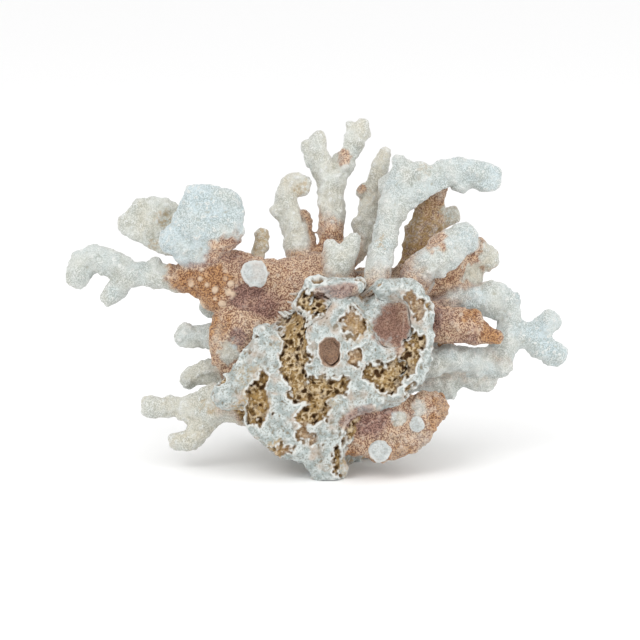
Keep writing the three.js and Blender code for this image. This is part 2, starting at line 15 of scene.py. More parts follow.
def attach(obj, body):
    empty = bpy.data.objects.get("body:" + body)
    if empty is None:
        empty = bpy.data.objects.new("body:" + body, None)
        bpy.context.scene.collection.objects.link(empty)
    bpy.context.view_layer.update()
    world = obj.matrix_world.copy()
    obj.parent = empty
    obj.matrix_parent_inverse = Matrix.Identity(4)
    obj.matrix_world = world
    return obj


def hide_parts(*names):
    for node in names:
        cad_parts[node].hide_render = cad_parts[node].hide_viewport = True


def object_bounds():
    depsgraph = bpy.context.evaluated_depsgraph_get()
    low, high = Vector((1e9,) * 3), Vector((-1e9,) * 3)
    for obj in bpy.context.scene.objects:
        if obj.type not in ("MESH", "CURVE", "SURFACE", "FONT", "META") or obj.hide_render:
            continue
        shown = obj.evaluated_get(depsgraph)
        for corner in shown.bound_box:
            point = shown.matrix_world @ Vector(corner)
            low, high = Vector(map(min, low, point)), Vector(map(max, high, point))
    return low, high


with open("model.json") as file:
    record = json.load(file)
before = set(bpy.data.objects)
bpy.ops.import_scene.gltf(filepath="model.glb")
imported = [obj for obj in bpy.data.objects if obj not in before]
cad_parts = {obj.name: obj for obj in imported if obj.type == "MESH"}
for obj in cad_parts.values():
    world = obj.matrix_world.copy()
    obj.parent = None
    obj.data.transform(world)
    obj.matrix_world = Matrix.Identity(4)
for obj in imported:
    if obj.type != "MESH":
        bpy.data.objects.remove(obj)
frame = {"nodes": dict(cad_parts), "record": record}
cad_box = [list(corner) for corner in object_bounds()]
MM = 0.001

# The camera stands 1.2 m in front of the eroded face and looks down on the coral a little.
# Places on the coral are given as it sees them: across and up on a plane through the middle of
# the coral, and deep behind that plane, all in millimetres.
EYE_DISTANCE_MM = 1200
LOOK_DOWN = math.radians(10)
MIDDLE_UP_MM = 77
VIEW_MIDDLE_MM = (1.47, -12.96, 72)
FOCAL_MM, SENSOR_MM = 135, 36

ahead = np.array([0, math.cos(LOOK_DOWN), -math.sin(LOOK_DOWN)])
upward = np.array([0, math.sin(LOOK_DOWN), math.cos(LOOK_DOWN)])
view_middle = np.array(VIEW_MIDDLE_MM)


def seen(points):
    """Across, up and deep in millimetres of points in metres."""
    away = points / MM - view_middle
    deep = away @ ahead
    scale = 1 + deep / EYE_DISTANCE_MM
    return np.column_stack((away[:, 0] / scale, MIDDLE_UP_MM + away @ upward / scale, deep))


def standing_at(where):
    """The points in metres that are seen there."""
    scale = 1 + where[:, 2:] / EYE_DISTANCE_MM
    away = (where[:, 1:2] - MIDDLE_UP_MM) * scale * upward + where[:, 2:] * ahead
    away[:, 0] += where[:, 0] * scale[:, 0]
    return (view_middle + away) * MM


eye = bpy.data.cameras.new("eye")
eye.lens, eye.sensor_width = FOCAL_MM, SENSOR_MM
camera = bpy.data.objects.new("eye", eye)
bpy.context.scene.collection.objects.link(camera)
camera.location = (view_middle - ahead * EYE_DISTANCE_MM) * MM
camera.rotation_euler = (math.pi / 2 - LOOK_DOWN, 0, 0)
bpy.context.scene.camera = camera

# The studio is a wide pale floor under an even white sky, with a large soft light from the
# upper left and a weaker one from the right.
FLOOR_RADIUS = 9
FLOOR_COLOUR = (0.97, 0.97, 0.97, 1)
SKY_STRENGTH = 1.0


def material(name):
    """A new material, its node tree and its Principled shader."""
    made = bpy.data.materials.new(name)
    made.use_nodes = True
    return made, made.node_tree, made.node_tree.nodes["Principled BSDF"]


floor_shape = bmesh.new()
bmesh.ops.create_circle(floor_shape, cap_ends=True, segments=64, radius=FLOOR_RADIUS)
floor_mesh = bpy.data.meshes.new("studio_floor")
floor_shape.to_mesh(floor_mesh)
floor_shape.free()
floor = bpy.data.objects.new("studio_floor", floor_mesh)
bpy.context.scene.collection.objects.link(floor)
floor_paint, _, floor_shader = material("studio_floor")
floor_shader.inputs["Base Color"].default_value = FLOOR_COLOUR
floor_shader.inputs["Roughness"].default_value = 0.9
floor_mesh.materials.append(floor_paint)

world = bpy.data.worlds.new("studio")
world.use_nodes = True
world.node_tree.nodes["Background"].inputs["Color"].default_value = (1, 1, 1, 1)
world.node_tree.nodes["Background"].inputs["Strength"].default_value = SKY_STRENGTH
bpy.context.scene.world = world
bpy.context.scene.view_settings.view_transform = "Standard"

LIT_UP_TO = 0.08
SOFTBOXES = {
    "key_light": {"at": (-0.9, -1.2, 1.5), "size": 1.1, "watts": 11.5},
    "fill_light": {"at": (1.3, -0.9, 0.8), "size": 1.4, "watts": 8},
}
for name, box in SOFTBOXES.items():
    lamp = bpy.data.lights.new(name, "AREA")
    lamp.size, lamp.energy = box["size"], box["watts"]
    softbox = bpy.data.objects.new(name, lamp)
    softbox.location = box["at"]
    towards = Vector((0, 0, LIT_UP_TO)) - softbox.location
    softbox.rotation_euler = towards.to_track_quat("-Z", "Y").to_euler()
    bpy.context.scene.collection.objects.link(softbox)

# The skeleton is one growth of limestone, so its surface runs over the forks without a break.
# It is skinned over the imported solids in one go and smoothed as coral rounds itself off, and
# each face remembers the solid that it covers.
SWELL_MM = 0.35
SKIN_MM = 1.35
SMOOTH_ROUNDS = 9
SMOOTH_IN, SMOOTH_OUT = 0.55, -0.56
SEAM_ROUNDS = 12

piece_names = [part["node"] for part in frame["record"]["subparts"]]
slot_of = {part["node"]: part["material_slot"] for part in frame["record"]["subparts"]}


def numbers(items, name, width=1, kind=np.float64):
    """One row of numbers for each item of a mesh."""
    flat = np.empty(len(items) * width, kind)
    items.foreach_get(name, flat)
    return flat.reshape(-1, width) if width > 1 else flat


def merged_solid(name, swell):
    """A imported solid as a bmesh, its points merged and moved outwards."""
    solid = bmesh.new()
    solid.from_mesh(frame["nodes"][name].data)
    bmesh.ops.remove_doubles(solid, verts=solid.verts, dist=0.001 * MM)
    solid.normal_update()
    for vert in solid.verts:
        vert.co += vert.normal * swell
    return solid


def evened(values, edges, rounds, amounts):
    """Values at the points of a mesh, moved towards the mean of their neighbours in turns."""
    values = values.copy()
    neighbours = np.bincount(edges.ravel(), minlength=len(values))
    for turn in range(rounds):
        amount = amounts[turn % len(amounts)]
        for column in values.T:
            total = np.bincount(edges[:, 0], column[edges[:, 1]], len(values))
            total += np.bincount(edges[:, 1], column[edges[:, 0]], len(values))
            column += amount * (total / neighbours - column)
    return values


def with_modifiers(thing):
    """The object's mesh with its modifiers applied, in place of the mesh it had."""
    seen_now = thing.evaluated_get(bpy.context.evaluated_depsgraph_get())
    result = bpy.data.meshes.new_from_object(seen_now)
    thing.modifiers.clear()
    thing.data = result
    return result


growth = bmesh.new()
solid_points, solid_faces, solid_owner = [], [], []
for owner_index, name in enumerate(piece_names):
    solid = merged_solid(name, 0)
    first = len(solid_points)
    solid_points += [vert.co.copy() for vert in solid.verts]
    solid_faces += [[first + vert.index for vert in face.verts] for face in solid.faces]
    solid_owner += [owner_index] * len(solid.faces)
    solid.free()
    solid = merged_solid(name, SWELL_MM * MM)
    swollen = bpy.data.meshes.new("swollen")
    solid.to_mesh(swollen)
    solid.free()
    growth.from_mesh(swollen)
    bpy.data.meshes.remove(swollen)
solids = BVHTree.FromPolygons(solid_points, solid_faces)
skin_mesh = bpy.data.meshes.new("skin")
growth.to_mesh(skin_mesh)
growth.free()
skin = bpy.data.objects.new("skin", skin_mesh)
bpy.context.scene.collection.objects.link(skin)
shrink_wrap = skin.modifiers.new("skin", "REMESH")
shrink_wrap.mode = "VOXEL"
shrink_wrap.voxel_size = SKIN_MM * MM
with_modifiers(skin)

# Voxels that lie apart from the growth, such as sealed air inside it, are dropped.
growth = bmesh.new()
growth.from_mesh(skin.data)
loose = set(growth.verts)
islands = []
while loose:
    island, edge_of_island = set(), [loose.pop()]
    while edge_of_island:
        vert = edge_of_island.pop()
        island.add(vert)
        for edge in vert.link_edges:
            other = edge.other_vert(vert)
            if other in loose:
                loose.remove(other)
                edge_of_island.append(other)
    islands.append(island)
islands.sort(key=len)
for island in islands[:-1]:
    bmesh.ops.delete(growth, geom=list(island), context="VERTS")
growth.to_mesh(skin.data)
growth.free()

edges = numbers(skin.data.edges, "vertices", 2, np.int32)
points = numbers(skin.data.vertices, "co", 3)
points = evened(points, edges, 2 * SMOOTH_ROUNDS, (SMOOTH_IN, SMOOTH_OUT))
skin.data.vertices.foreach_set("co", points.ravel())
skin.data.update()

# Each face of the skin belongs to the solid nearest to it. Seams are evened out by a vote among
# neighbours, and a patch that is cut off from its piece joins the piece round it.
face_middles = numbers(skin.data.polygons, "center", 3).tolist()
owner = np.array([solid_owner[solids.find_nearest(middle)[2]] for middle in face_middles])
face_edges = {}
neighbour_faces = [[] for face in skin.data.polygons]
for face in skin.data.polygons:
    for key in face.edge_keys:
        if key in face_edges:
            other = face_edges.pop(key)
            neighbour_faces[face.index].append(other)
            neighbour_faces[other].append(face.index)
        else:
            face_edges[key] = face.index
beside = np.array([(row + [face, face, face, face])[:4] for face, row in enumerate(neighbour_faces)])
for turn in range(SEAM_ROUNDS):
    votes = np.column_stack((owner, owner[beside]))
    counts = (votes[:, :, None] == votes[:, None, :]).sum(axis=2)
    owner = votes[np.arange(len(votes)), counts.argmax(axis=1)]
unvisited = set(range(len(owner)))
patches = []
while unvisited:
    start = unvisited.pop()
    patch, todo = [start], [start]
    while todo:
        for other in neighbour_faces[todo.pop()]:
            if other in unvisited and owner[other] == owner[start]:
                unvisited.remove(other)
                patch.append(other)
                todo.append(other)
    patches.append(patch)
patches.sort(key=len)
main_patch = {owner[patch[0]]: patch for patch in patches}
for patch in patches:
    if main_patch[owner[patch[0]]] is not patch:
        round_it = [other for face in patch for other in neighbour_faces[face]
                    if owner[other] != owner[face]]
        owner[patch] = np.bincount(owner[round_it]).argmax()
skin.data.attributes.new("owner", "INT", "FACE").data.foreach_set("value", owner.astype(np.int32))
finer = skin.modifiers.new("finer", "SUBSURF")
finer.levels = finer.render_levels = 1
with_modifiers(skin)

points = numbers(skin.data.vertices, "co", 3)
normals = numbers(skin.data.vertex_normals, "vector", 3)
edges = numbers(skin.data.edges, "vertices", 2, np.int32)
quads = numbers(skin.data.loops, "vertex_index", 1, np.int32).reshape(-1, 4)
owner = numbers(skin.data.attributes["owner"].data, "value", 1, np.int32)
where = seen(points)
at_mm = points / MM
facing = -(normals @ ahead)
point_owner = np.zeros(len(points), np.int32)
point_owner[quads.ravel()] = np.repeat(owner, 4)
lowest = np.full(len(points), len(piece_names))
highest = np.full(len(points), -1)
np.minimum.at(lowest, quads.ravel(), np.repeat(owner, 4))
np.maximum.at(highest, quads.ravel(), np.repeat(owner, 4))
on_seam = lowest != highest

# The millimetres from each point to the fork where its piece grew from an earlier one.
from_fork = np.zeros(len(points))
for owner_index in range(1, len(piece_names)):
    own = np.flatnonzero(point_owner == owner_index)
    seam = np.flatnonzero(on_seam & (highest == owner_index))
    tree = KDTree(len(seam))
    for place_in_tree, point in enumerate(points[seam].tolist()):
        tree.insert(point, place_in_tree)
    tree.balance()
    from_fork[own] = [tree.find(point)[2] / MM for point in points[own].tolist()]


def rough(scale_mm, shift, octaves=1, which=slice(None)):
    """Noise about 0 at the points of the skin, its lumps about so wide. Each use has its own
    shift, so that no two are alike."""
    spots = (at_mm[which] / scale_mm + shift).tolist()
    if octaves == 1:
        return np.array([noise.noise(spot) for spot in spots])
    return np.array([noise.fractal(spot, 0.8, 2.1, octaves) for spot in spots])


# A seed's draw comes from its place, well mixed up.
DRAW_WEIGHTS, DRAW_SCALE = (12.9898, 78.233, 37.719), 43758.5453


def cells(spots_mm, spacing_mm, shift):
    """The distance to the nearest of the scattered seeds, in spacings, and that seed's own draw
    from 0 to 1."""
    found = [noise.voronoi(spot) for spot in (spots_mm / spacing_mm + shift).tolist()]
    mixed_up = np.sin(np.array([row[1][0] for row in found]) @ DRAW_WEIGHTS) * DRAW_SCALE
    return np.array([row[0][0] for row in found]), np.abs(mixed_up) % 1


def share_of(name, rounds=10):
    """How much of each point is that piece's, fading over its forks."""
    own = (point_owner == piece_names.index(name)).astype(float)
    return evened(own[:, None], edges, rounds, (0.5,))[:, 0]


def step(low, high, values):
    """0 below low and 1 above high, smooth between them. High may be the lower one."""
    share = np.clip((values - low) / (high - low), 0, 1)
    return share * share * (3 - 2 * share)


# The holdfast is the old middle of the coral, which has died and worn. White crust covers it,
# and where the crust has broken away the porous tan ground shows a few millimetres deeper. A
# worm has bored one hole into it, and a scoop beside that is worn smooth.
FACE_OUTLINE = [
    [-57, 36], [-51, 44], [-42, 50], [-33, 60], [-29, 74], [-24, 77], [-14, 83], [-13, 92],
    [-7, 96], [8, 97], [20, 96.5], [25, 90], [31, 95], [42, 96], [50, 93], [54, 87], [56, 73],
    [54, 62], [50, 50], [45, 44], [38, 36], [24, 31], [15, 27], [11.5, 17], [11.5, 6], [10, -5],
    [0, -6], [-4, 3], [-10, 6.5], [-25, 12], [-33, 20], [-40, 25], [-51, 29],
]
FACE_MIDDLE, FACE_REACH = np.array((6, 47)), np.array((60, 52))
GROUND_DEEP_MM, GROUND_BULGE_MM = -24.5, 9
CRUST_RISE_MM, GROUND_RISE_MM = 4.2, 1.6
MOST_MOVED_MM, BORE_DEEP_MM = 4.5, 12
# The worn face turns into the solid's own surface between these shares of the way to its rim.
RIM_FROM, RIM_TO, OWN_UNDER_MM = 0.74, 0.93, 2.4
# The edges of the patches wander, and crumble along part of their length.
WANDER_MM, WANDER_REACH_MM = 7, 3.2
CRUMB_MM, CRUMB_REACH_MM, CRUMBLED_REACH_MM = 2.4, 1.1, 2.2
CRUMBLED_STRETCH_MM, LEDGE_HALF_MM = 12, 0.4
# Away from the face, crust and bare ground lie about in patches, the crust a little more.
SIDE_PATCH_MM, SIDE_PATCH_REACH_MM, MORE_CRUST_MM = 13, 8, 2.5
SIDE_CRUST_RISE_MM, SIDE_GROUND_DEEP_MM = 0.6, 0.7
# Each patch of bare ground is a chain of [across, up, half width].
GROUND_PATCHES = {
    "above_bore": [[-9, 87, 5], [-1, 83.5, 4.6]],
    "left_of_bore": [[-18, 77, 4], [-12, 73, 6.4], [-12, 61, 6], [-13, 50, 6],
                     [-9, 42, 6.8], [2.5, 43, 6], [10.5, 43.5, 4.4]],
    "below_bore": [[-1, 33, 5.2], [-7, 28, 4]],
    "left_rim": [[-29, 48, 2.4], [-31, 41, 4.4], [-30, 32, 5.4], [-37, 28, 4.4], [-42, 31, 2.4]],
    "ring": [[16, 76.5, 4.8], [18, 71, 4]],
    "ring_foot": [[17.5, 58, 3.6]],
    "right": [[26, 50.5, 4], [34, 47, 6], [40.5, 53, 5.8], [46.5, 61, 4.6], [49.5, 68, 3]],
    "right_rim": [[45.5, 88, 3.4], [49.5, 81, 3]],
    "low": [[-8.5, 22, 3.4], [-4, 16.5, 2]],
    "lowest": [[-18.5, 11, 3]],
    "foot": [[12, 12, 3], [10.5, 2, 3]],
    "notch": [[21, 88, 2]],
}
SHALLOW_PATCHES = ["ring", "ring_foot", "right_rim", "low", "lowest", "notch"]
# Blushed skin still covers a plate above the bore hole, which keeps its pale rim, and the top
# of the lower flap.
PLATE_RIM_ABOVE_MM = 50
SKIN_PATCHES = {
    "plate": [[0, 90.5, 3.4], [9, 91.5, 4], [17, 92.5, 3]],
    "over_flap": [[12, 25, 3], [18, 30.5, 3], [26, 33.5, 2]],
}
# A hollow's bare part may be smaller than its bowl. Both fade from the first share of its half
# sizes to the second.
HOLLOWS = {
    "bore": {"at": (5, 61.3), "half": (5.7, 7.8), "deep": 8.5, "wall": (1.0, 0.72),
             "bare_at": (5, 61.3), "bare_half": (5.7, 7.8), "bare_wall": (1.02, 0.9), "ragged": 0.4},
    "scoop": {"at": (34.5, 78), "half": (9.5, 15), "deep": 7.5, "wall": (1.08, 0.25),
              "bare_at": (36, 73.5), "bare_half": (9.5, 12.5), "bare_wall": (1.2, 0.75), "ragged": 1.8},
}
PIT_SPACING_MM, PIT_DEEP_MM = 3.3, 2.1
PORE_SPACING_MM, PORE_DEEP_MM = 1.8, 0.8
NODULE_SPACING_MM, NODULE_RISE_MM = 2.1, 0.3
BROAD_LUMP_MM, BROAD_RISE_MM = 14, 1.6
CRUST_LUMP_MM, CRUST_LUMP_RISE_MM = 4.5, 1.1
CRUST_FOLD_MM, CRUST_FOLD_RISE_MM = 9, 0.8
GROUND_LUMP_MM, GROUND_LUMP_RISE_MM = 4, 1.3
BARE_LUMP_MM, BARE_LUMP_RISE_MM = 3.5, 0.9
SHALLOW_RISE_MM, LEDGE_FOOT_DEEP_MM, CRUST_PORE_DEEP_MM = 1.2, 0.4, 0.5
BEND_MM, BEND_REACH_MM = 2.6, 0.9
HOLDFAST_FADE_ROUNDS = 24
# What is left of its skin is pink-brown. A patch, on any piece, is [across, up, half width, what it
# changes, to what].
HOLDFAST_BLUSH, HOLDFAST_RUST = 0.75, 0.35
HOLDFAST_PATCHES = [
    [37, 74, 12, "rust", 0.0], [5, 61, 8, "rust", 0.9], [9, 92, 9, "rust", 0.1],
    [18, 30, 9, "rust", 0.0], [-33, 35, 8, "stain", 0.7], [-19, 66, 5, "stain", 0.35],
    [1, 38, 9, "stain", 0.4], [12, 4, 5, "stain", 0.6], [-22, 12, 6, "stain", 0.6],
    [20, 73, 6, "stain", 0.5], [-36, 50, 7, "stain", 0.4], [-41, 31, 6, "stain", 0.7],
]

holdfast = piece_names.index("holdfast")
share = share_of("holdfast", HOLDFAST_FADE_ROUNDS)
core = np.flatnonzero(share > 0.01)
hold = share[core]


def within_chain(spot, chain):
    """How far each spot lies inside a chain of circles, in millimetres."""
    best = np.full(len(spot), -np.inf)
    for one, other in zip(chain, chain[1:] or chain):
        start, along = np.array(one[:2]), np.subtract(other[:2], one[:2])
        part = np.clip((spot - start) @ along / max(along @ along, 1e-9), 0, 1)
        away = np.linalg.norm(spot - start - part[:, None] * along, axis=1)
        best = np.maximum(best, one[2] + (other[2] - one[2]) * part - away)
    return best


def within_any(spot, chains):
    """How far each spot lies inside the nearest of some chains, in millimetres."""
    return np.max([within_chain(spot, chain) for chain in chains], axis=0)


def within_outline(spot, outline):
    """How far each spot lies inside a closed outline, in millimetres, and below 0 outside."""
    inside = np.zeros(len(spot), bool)
    for (x0, y0), (x1, y1) in zip(outline, outline[1:] + outline[:1]):
        crosses = (y0 > spot[:, 1]) != (y1 > spot[:, 1])
        at = x0 + (spot[:, 1] - y0) * (x1 - x0) / ((y1 - y0) or 1e-9)
        inside ^= crosses & (spot[:, 0] < at)
    rim = [point + [0] for point in outline + outline[:1]]
    away = -within_chain(spot, rim)
    return np.where(inside, away, -away)


in_view = where[core, :2]
drift = WANDER_REACH_MM * np.column_stack([rough(WANDER_MM, shift, 3, core) for shift in (3.1, 17.4)])
patch_in = within_any(in_view + drift, GROUND_PATCHES.values())
off_middle = (((in_view - FACE_MIDDLE) / FACE_REACH) ** 2).sum(axis=1)
level = GROUND_DEEP_MM - GROUND_BULGE_MM * np.clip(1 - off_middle, 0, 1)
# Towards its rim the face keeps to the solid's own surface.
spokes = np.array(FACE_OUTLINE) - FACE_MIDDLE
off = in_view - FACE_MIDDLE
to_rim = np.interp(np.arctan2(off[:, 1], off[:, 0]), np.arctan2(spokes[:, 1], spokes[:, 0]),
                   np.hypot(spokes[:, 0], spokes[:, 1]), period=2 * math.pi)
near_rim = step(RIM_FROM, RIM_TO, np.hypot(off[:, 0], off[:, 1]) / to_rim)
own_deep = evened(where[:, 2:], edges, HOLDFAST_FADE_ROUNDS, (0.5,))[core, 0] + OWN_UNDER_MM
level += (own_deep - level) * near_rim
in_bore = np.linalg.norm((in_view - HOLLOWS["bore"]["at"]) / HOLLOWS["bore"]["half"], axis=1) < 1.2
behind = where[core, 2] - level - BORE_DEEP_MM * in_bore
inside = within_outline(in_view, FACE_OUTLINE)
front = step(0, 3, inside) * step(9, 5, behind) * np.maximum(step(0.15, 0.5, facing[core]), in_bore)
skin_in = within_any(in_view + 0.3 * drift, SKIN_PATCHES.values())
plate = step(-0.5, 1.0, skin_in) * np.maximum(step(0.8, 1.8, inside), in_view[:, 1] < PLATE_RIM_ABOVE_MM)
on_side = rough(SIDE_PATCH_MM, 8.2, 3, core) * SIDE_PATCH_REACH_MM - MORE_CRUST_MM
crumbling = step(-0.05, 0.3, rough(CRUMBLED_STRETCH_MM, 3.9, 2, core))
crumbs = rough(CRUMB_MM, 5.5, 2, core) * (CRUMB_REACH_MM + CRUMBLED_REACH_MM * crumbling)
patch_in = patch_in * front + on_side * (1 - front) + crumbs
crust = step(LEDGE_HALF_MM + crumbling, -LEDGE_HALF_MM - crumbling, patch_in)
bare, hollow_deep = np.zeros(len(core)), np.zeros(len(core))
for hollow in HOLLOWS.values():
    bent_view = in_view + hollow["ragged"] * drift
    off = np.linalg.norm((bent_view - hollow["bare_at"]) / hollow["bare_half"], axis=1)
    bare = np.maximum(bare, step(*hollow["bare_wall"], off) * front)
    off = np.linalg.norm((in_view + 0.3 * drift - hollow["at"]) / hollow["half"], axis=1)
    hollow_deep = np.maximum(hollow_deep, hollow["deep"] * step(*hollow["wall"], off))
ground = (1 - crust) * (1 - bare)
shallow = step(-2, 0, within_any(in_view, [GROUND_PATCHES[name] for name in SHALLOW_PATCHES]))

bend = np.column_stack([rough(BEND_MM, shift, 2, core) for shift in (1.3, 7.9, 12.1)])
bent = at_mm[core] + BEND_REACH_MM * bend
seed, draw = cells(bent, PIT_SPACING_MM, 4.4)
pit = step(0.6, 0.22, seed) * step(0.2, 0.45, draw) * (1 - 0.7 * shallow)
pore_seed, pore_draw = cells(bent, PORE_SPACING_MM, 9.9)
pore = step(0.5, 0.2, pore_seed) * step(0.3, 0.5, pore_draw) * (1 - 0.4 * shallow)
crust_pore = step(0.45, 0.1, pore_seed) * step(0.7, 0.8, pore_draw)
nodule_seed, nodule_draw = cells(bent, NODULE_SPACING_MM, 1.7)
nodule = step(0.62, 0.1, nodule_seed) * (0.3 + 0.7 * nodule_draw)
ledge_foot = step(2.6, 0.2, patch_in) * (1 - crust)
folds = 1 - np.abs(2.2 * rough(CRUST_FOLD_MM, 15.5, 2, core))
on_crust = NODULE_RISE_MM * nodule + CRUST_LUMP_RISE_MM * rough(CRUST_LUMP_MM, 2.2, 3, core)
on_crust += CRUST_FOLD_RISE_MM * folds - CRUST_PORE_DEEP_MM * crust_pore
on_ground = GROUND_LUMP_RISE_MM * rough(GROUND_LUMP_MM, 6.1, 3, core) + SHALLOW_RISE_MM * shallow
on_ground -= PIT_DEEP_MM * pit + PORE_DEEP_MM * pore + LEDGE_FOOT_DEEP_MM * ledge_foot
on_bare = (1 - in_bore) * BARE_LUMP_RISE_MM * rough(BARE_LUMP_MM, 7.1, 3, core)
relief = crust * (1 - bare) * on_crust + ground * on_ground + bare * on_bare
wanted = level - GROUND_RISE_MM - crust * (CRUST_RISE_MM - GROUND_RISE_MM) - relief
wanted -= BROAD_RISE_MM * rough(BROAD_LUMP_MM, 4.9, 2, core)
wanted += np.maximum(hollow_deep - 0.5 * (1 - crust), 0)
reach = MOST_MOVED_MM + BORE_DEEP_MM * in_bore
where[core, 2] += np.clip(wanted - where[core, 2], -reach, reach) * front * hold
plain_side = crust * SIDE_CRUST_RISE_MM - (1 - crust) * SIDE_GROUND_DEEP_MM
relief_side = (relief + plain_side) * (1 - front) * hold
# Painted shade down the pits and pores of the bare ground and at the feet of its ledges, weaker where
# the ground is shallow.
pit_shade = np.clip(np.maximum(pit, 0.7 * pore) + 0.15 * ledge_foot, 0, 1)
pit_shade *= ground * (1 - 0.4 * shallow)
crust_rim = step(-2.6, -0.3, patch_in) * crust * front

# The trunks and plates are the thick arms that grew out of the holdfast first, in the same
# limestone. They keep most of their pink-brown skin. Stems broke off the flap and the left trunk,
# and each left a round pale scar that stands a little proud.
TRUNKS_AND_PLATES = {
    # A skin is (blush at its fork, blush at its tip, the millimetres in which it fades, rust),
    # and a scar is [across, up, half width, rise].
    "lower_flap": {
        "skin": (0.95, 0.75, 25, 0.5),
        "patches": [[24, 30, 13, "rust", 0.0], [62, 36, 6, "rust", 1.0], [40, 27.5, 4, "blush", 0.2],
                    [50, 32, 4.5, "blush", 0.35], [40, 8, 7, "rust", 0.9], [12, 8, 6, "rust", 0.9],
                    [58, 25, 5, "rust", 1.0], [27, 5, 5, "rust", 0.9]],
        "scars": [[30, 11.2, 4.7, 1.6], [48.3, 24.8, 3.3, 1.2]],
    },
    "left_trunk": {
        "skin": (1.0, 0.9, 30, 0.45),
        "patches": [[-60, 99, 15, "rust", 1.0], [-51, 93, 13, "rust", 1.0], [-34, 84, 15, "rust", 0.0],
                    [-42, 108, 9, "rust", 0.3], [-23, 100, 8, "rust", 0.6]],
        "scars": [[-32.5, 100, 5.6, 2.6]],
    },
    "left_lower_plate": {
        "skin": (0.9, 0.6, 22, 0.6),
        "patches": [[-52, 72, 7, "rust", 1.0], [-46, 61, 6, "blush", 0.2], [-46, 61, 9, "rust", 0.6],
                    [-40, 68, 6, "rust", 0.1]],
    },
    "upper_plate": {"skin": (0.9, 0.8, 30, 0.5)},
    "right_trunk": {"skin": (0.8, 0.7, 30, 0.5)},
}
# Cream warts stand on the left end of the left trunk, and knobs all over the flap.
CREAM_WARTS = {"at": (-53, 91), "half": (15, 9), "spacing": 4.4, "rise": 1.2}
FLAP_KNOB_MM, FLAP_KNOB_RISE_MM = 4.4, 1.3

# The two blades are broad flat ends of the left trunk, bleached but for their roots. The front
# one is bluish white, and a patterned corner of it still has its skin.
LEFT_BLADES = {
    "rear_left_blade": {
        "skin": (0.6, 0.0, 9, 0.6),
        "patches": [[-78, 127, 4.5, "stain", 0.6], [-83, 116, 3, "stain", 0.5]],
    },
    "front_left_blade": {
        "skin": (0.9, 0.0, 4, 0.05),
        "patches": [[-45, 109, 13, "blush", 1.0], [-46, 108, 18, "rust", 0.3]],
    },
}

# The branches of the left side are short round fingers, bleached white by the sun. The antler is
# rusty where it leaves the trunk, and the lowest one has two small stains.
LEFT_BRANCHES = {
    "left_antler": {
        "skin": (0.5, 0.0, 7, 0.45),
        "patches": [[-67, 101, 9.5, "blush", 1.0], [-66, 100, 12, "rust", 1.0]],
    },
    "left_under_lobe": {"skin": (0.4, 0.0, 12, 0.6)},
    "left_stub": {"skin": (0.7, 0.05, 4, 0.45)},
    "left_hook": {"skin": (0.5, 0.05, 9, 0.6), "patches": [[-47, 48, 3, "blush", 0.8]]},
    "lower_left_branch": {
        "skin": (0.4, 0.0, 9, 0.75),
        "patches": [[-54, 33.5, 3, "stain", 0.55], [-59, 34, 2, "stain", 0.5]],
    },
}

# The fingers of the top stand up from the upper plate and the right trunk. They are warm white
# above a brown foot. The tan blade behind them faced away from the light and kept its colour.
TOP_FINGERS = {
    "small_finger": {"skin": (0.6, 0.15, 7, 1.0), "patches": [[-29, 118, 9, "stain", 0.6]]},
    "upper_left_hook": {"skin": (0.8, 0.08, 8, 0.7), "patches": [[-9, 143, 3, "stain", 0.5]]},
    "upper_rear_finger": {"skin": (0.9, 0.35, 14, 0.7)},
    "tall_fork": {
        "skin": (1.0, 0.06, 20, 0.6),
        "patches": [[6, 119, 8.5, "blush", 1.0], [12, 158, 4, "blush", 0.7]],
    },
    "front_fork": {"skin": (0.8, 0.04, 9, 0.6)},
    "slender_blade": {"skin": (0.9, 0.15, 10, 0.75), "patches": [[20, 142, 3.5, "blush", 0.6]]},
    "right_column": {"skin": (0.6, 0.12, 14, 0.35), "patches": [[29, 115, 2.5, "stain", 0.7]]},
    "reaching_arm": {"skin": (0.05, 0.0, 8, 0.25), "patches": [[52, 153, 4, "stain", 0.3]]},
    "tan_blade": {
        "skin": (0.85, 0.55, 26, 0.6),
        "patches": [[66, 130, 5.5, "blush", 0.0], [48, 112, 26, "stain", 0.75]],
    },
}

# The limbs of the right side fan out from the right trunk, thick and flattened. The tongue
# between them is still pink, with a rusty end, and the fan and its antler are cool white.
RIGHT_LIMBS = {
    "upper_right_limb": {
        "skin": (0.95, 0.12, 14, 0.3),
        "patches": [[58, 118, 7, "blush", 0.9], [58, 118, 9, "rust", 0.5]],
    },
    "second_right_limb": {
        "skin": (0.9, 0.4, 30, 0.7),
        "patches": [[85, 109, 6, "blush", 0.0], [77, 100, 5.5, "blush", 0.0]],
    },
    "pink_tongue": {
        "skin": (0.95, 0.9, 20, 0.35),
        "patches": [[52, 76, 10, "rust", 0.0], [76, 80, 5, "rust", 1.0], [86, 70, 7, "rust", 1.0]],
    },
    "right_fan": {"skin": (0.75, 0.03, 14, 0.3), "patches": [[88, 84, 14, "blush", 0.03]]},
    "far_right_antler": {"skin": (0.05, 0.0, 12, 0.15)},
    "lower_right_limb": {"skin": (0.4, 0.02, 8, 0.35)},
    "inner_spur": {"skin": (0.9, 0.7, 14, 0.9)},
    "lowest_right_limb": {"skin": (0.4, 0.04, 10, 0.4)},
}

# The crown is the ten branches at the back, which grew away from the reef. They are alike: brown
# skin at the fork, and bleached towards the tip.
CROWN_SKIN = (0.95, 0.05, 26, 0.45)

